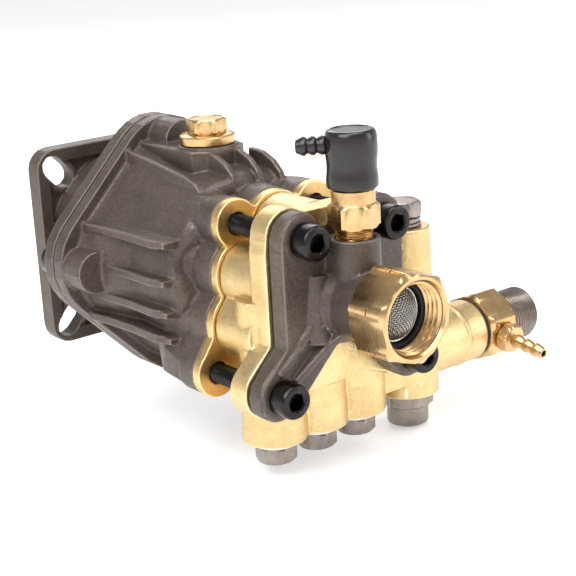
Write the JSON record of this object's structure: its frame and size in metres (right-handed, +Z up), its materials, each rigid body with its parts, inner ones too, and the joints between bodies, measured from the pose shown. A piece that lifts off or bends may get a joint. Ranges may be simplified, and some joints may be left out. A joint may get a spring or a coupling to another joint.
{
  "type": "pressure washer pump",
  "caption": "Direct-drive axial piston pressure washer pump with dark cast crankcase, brass manifold, brass hose inlet nut, relief valve, unloader and threaded steel outlet.",
  "frame": {"origin": "on the drive shaft's axis, at the face of the square flange that bolts to the engine", "axes": "+Y runs along the shaft into the engine, the inlet is at the -Y end, +Z is up (oil plug side), +X is the outlet's side"},
  "size_m": [0.1702, 0.1861, 0.1303],
  "materials": {
    "cast_adapter": "sand-cast, dark bronze tone, satin",
    "cast_crankcase": "sand-cast, dark bronze tone, satin",
    "cast_cover": "sand-cast, dark bronze tone, satin",
    "cast_brass": "cast and blasted brass, soft sheen",
    "retainer_brass": "machined brass plate",
    "nut_brass": "turned and milled brass, fine tool marks",
    "machined_brass": "turned brass, fine tool marks",
    "plated_steel": "turned steel, warm grey plating",
    "ground_steel": "ground steel",
    "washer_steel": "bright steel washer",
    "spring_steel": "drawn spring wire",
    "screen_steel": "woven stainless wire",
    "black_steel": "black oxide, lightly oiled",
    "rubber": "moulded nitrile rubber",
    "gasket": "pressed fibre gasket",
    "black_plastic": "moulded glass-filled nylon, semi-matt",
    "valve_plastic": "moulded acetal"
  },
  "bodies": {
    "pump_body": {"bearing_outer_race": "ground_steel", "case_gasket": "gasket", "case_screw_1": "black_steel", "case_screw_2": "black_steel", "case_screw_3": "black_steel", "case_screw_4": "black_steel", "cover_screw_1": "black_steel", "cover_screw_2": "black_steel", "cover_screw_3": "black_steel", "cover_screw_4": "black_steel", "crankcase": "cast_crankcase", "hose_washer": "rubber", "injector_barb": "machined_brass", "injector_body": "machined_brass", "inlet_cover": "cast_cover", "inlet_gasket": "gasket", "inlet_screen": "screen_steel", "inlet_tailpiece": "machined_brass", "mounting_adapter": "cast_adapter", "oil_filler_plug": "machined_brass", "oil_plug_seal": "rubber", "outlet_seal_ring": "rubber", "outlet_thread": "plated_steel", "plunger_seal_1": "rubber", "plunger_seal_2": "rubber", "plunger_seal_3": "rubber", "plunger_spring_1": "spring_steel", "plunger_spring_2": "spring_steel", "plunger_spring_3": "spring_steel", "pump_head": "cast_brass", "relief_valve_body": "machined_brass", "seal_retainer": "retainer_brass", "shaft_seal": "rubber", "thermal_valve": "plated_steel", "unloader_cap": "plated_steel", "unloader_spring": "spring_steel", "valve_plug_1": "plated_steel", "valve_plug_2": "plated_steel", "valve_plug_3": "plated_steel", "valve_plug_washer_1": "washer_steel", "valve_plug_washer_2": "washer_steel", "valve_plug_washer_3": "washer_steel"},
    "rotor": {"drive_shaft": "ground_steel", "bearing_inner_race": "ground_steel", "swash_bearing": "ground_steel", "swash_race": "ground_steel"},
    "ball_cage": {"bearing_cage": "machined_brass"},
    "plunger_1": {"plunger_1": "ground_steel"},
    "plunger_2": {"plunger_2": "ground_steel"},
    "plunger_3": {"plunger_3": "ground_steel"},
    "inlet_valve_1": {"inlet_valve_1": "valve_plastic"},
    "inlet_valve_2": {"inlet_valve_2": "valve_plastic"},
    "inlet_valve_3": {"inlet_valve_3": "valve_plastic"},
    "discharge_valve_1": {"discharge_valve_1": "valve_plastic"},
    "discharge_valve_2": {"discharge_valve_2": "valve_plastic"},
    "discharge_valve_3": {"discharge_valve_3": "valve_plastic"},
    "unloader_piston": {"unloader_piston": "machined_brass"},
    "hose_nut": {"hose_nut": "nut_brass"},
    "relief_elbow": {"relief_hose_elbow": "black_plastic"},
    "injector_ball": {"injector_ball": "ground_steel"}
  },
  "joints": [
    {"name": "shaft_spin", "type": "hinge", "parent": "pump_body", "child": "rotor", "pos_m": [0, 0, 0], "axis": [0, 1, 0], "continuous": true},
    {"name": "bearing_cage_spin", "type": "hinge", "parent": "pump_body", "child": "ball_cage", "pos_m": [0, -0.02525, 0], "axis": [0, 1, 0], "continuous": true},
    {"name": "plunger_1_stroke", "type": "slide", "parent": "pump_body", "child": "plunger_1", "axis": [0, -1, 0], "range_m": [0, 0.0085], "stiffness_N_per_m": 3000, "springref_m": -0.004, "deforming": ["plunger_spring_1"]},
    {"name": "plunger_2_stroke", "type": "slide", "parent": "pump_body", "child": "plunger_2", "axis": [0, -1, 0], "range_m": [0, 0.0085], "stiffness_N_per_m": 3000, "springref_m": -0.004, "deforming": ["plunger_spring_2"]},
    {"name": "plunger_3_stroke", "type": "slide", "parent": "pump_body", "child": "plunger_3", "axis": [0, -1, 0], "range_m": [0, 0.0085], "stiffness_N_per_m": 3000, "springref_m": -0.004, "deforming": ["plunger_spring_3"]},
    {"name": "inlet_valve_1_lift", "type": "slide", "parent": "pump_body", "child": "inlet_valve_1", "axis": [0, 1, 0], "range_m": [0, 0.002], "stiffness_N_per_m": 60, "springref_m": -0.002},
    {"name": "inlet_valve_2_lift", "type": "slide", "parent": "pump_body", "child": "inlet_valve_2", "axis": [0, 1, 0], "range_m": [0, 0.002], "stiffness_N_per_m": 60, "springref_m": -0.002},
    {"name": "inlet_valve_3_lift", "type": "slide", "parent": "pump_body", "child": "inlet_valve_3", "axis": [0, 1, 0], "range_m": [0, 0.002], "stiffness_N_per_m": 60, "springref_m": -0.002},
    {"name": "discharge_valve_1_lift", "type": "slide", "parent": "pump_body", "child": "discharge_valve_1", "axis": [0, 0, -1], "range_m": [0, 0.002], "stiffness_N_per_m": 60, "springref_m": -0.002},
    {"name": "discharge_valve_2_lift", "type": "slide", "parent": "pump_body", "child": "discharge_valve_2", "axis": [0, 0, -1], "range_m": [0, 0.002], "stiffness_N_per_m": 60, "springref_m": -0.002},
    {"name": "discharge_valve_3_lift", "type": "slide", "parent": "pump_body", "child": "discharge_valve_3", "axis": [0, 0, -1], "range_m": [0, 0.002], "stiffness_N_per_m": 60, "springref_m": -0.002},
    {"name": "unloader_lift", "type": "slide", "parent": "pump_body", "child": "unloader_piston", "axis": [0, 0, 1], "range_m": [0, 0.003], "stiffness_N_per_m": 800, "springref_m": -0.003, "deforming": ["unloader_spring"]},
    {"name": "hose_nut_spin", "type": "hinge", "parent": "pump_body", "child": "hose_nut", "pos_m": [0, -0.1775, -0.0019], "axis": [0, 1, 0], "continuous": true},
    {"name": "relief_elbow_swivel", "type": "hinge", "parent": "pump_body", "child": "relief_elbow", "pos_m": [0, -0.1553, 0.046], "axis": [0, 0, 1], "continuous": true},
    {"name": "injector_ball_lift", "type": "slide", "parent": "pump_body", "child": "injector_ball", "axis": [0, 0.989, 0.1478], "range_m": [0, 0.0015], "stiffness_N_per_m": 20, "springref_m": -0.002}
  ],
  "couplings": [
    {"joint": "bearing_cage_spin", "follows": "shaft_spin", "ratio": 0.428}
  ]
}
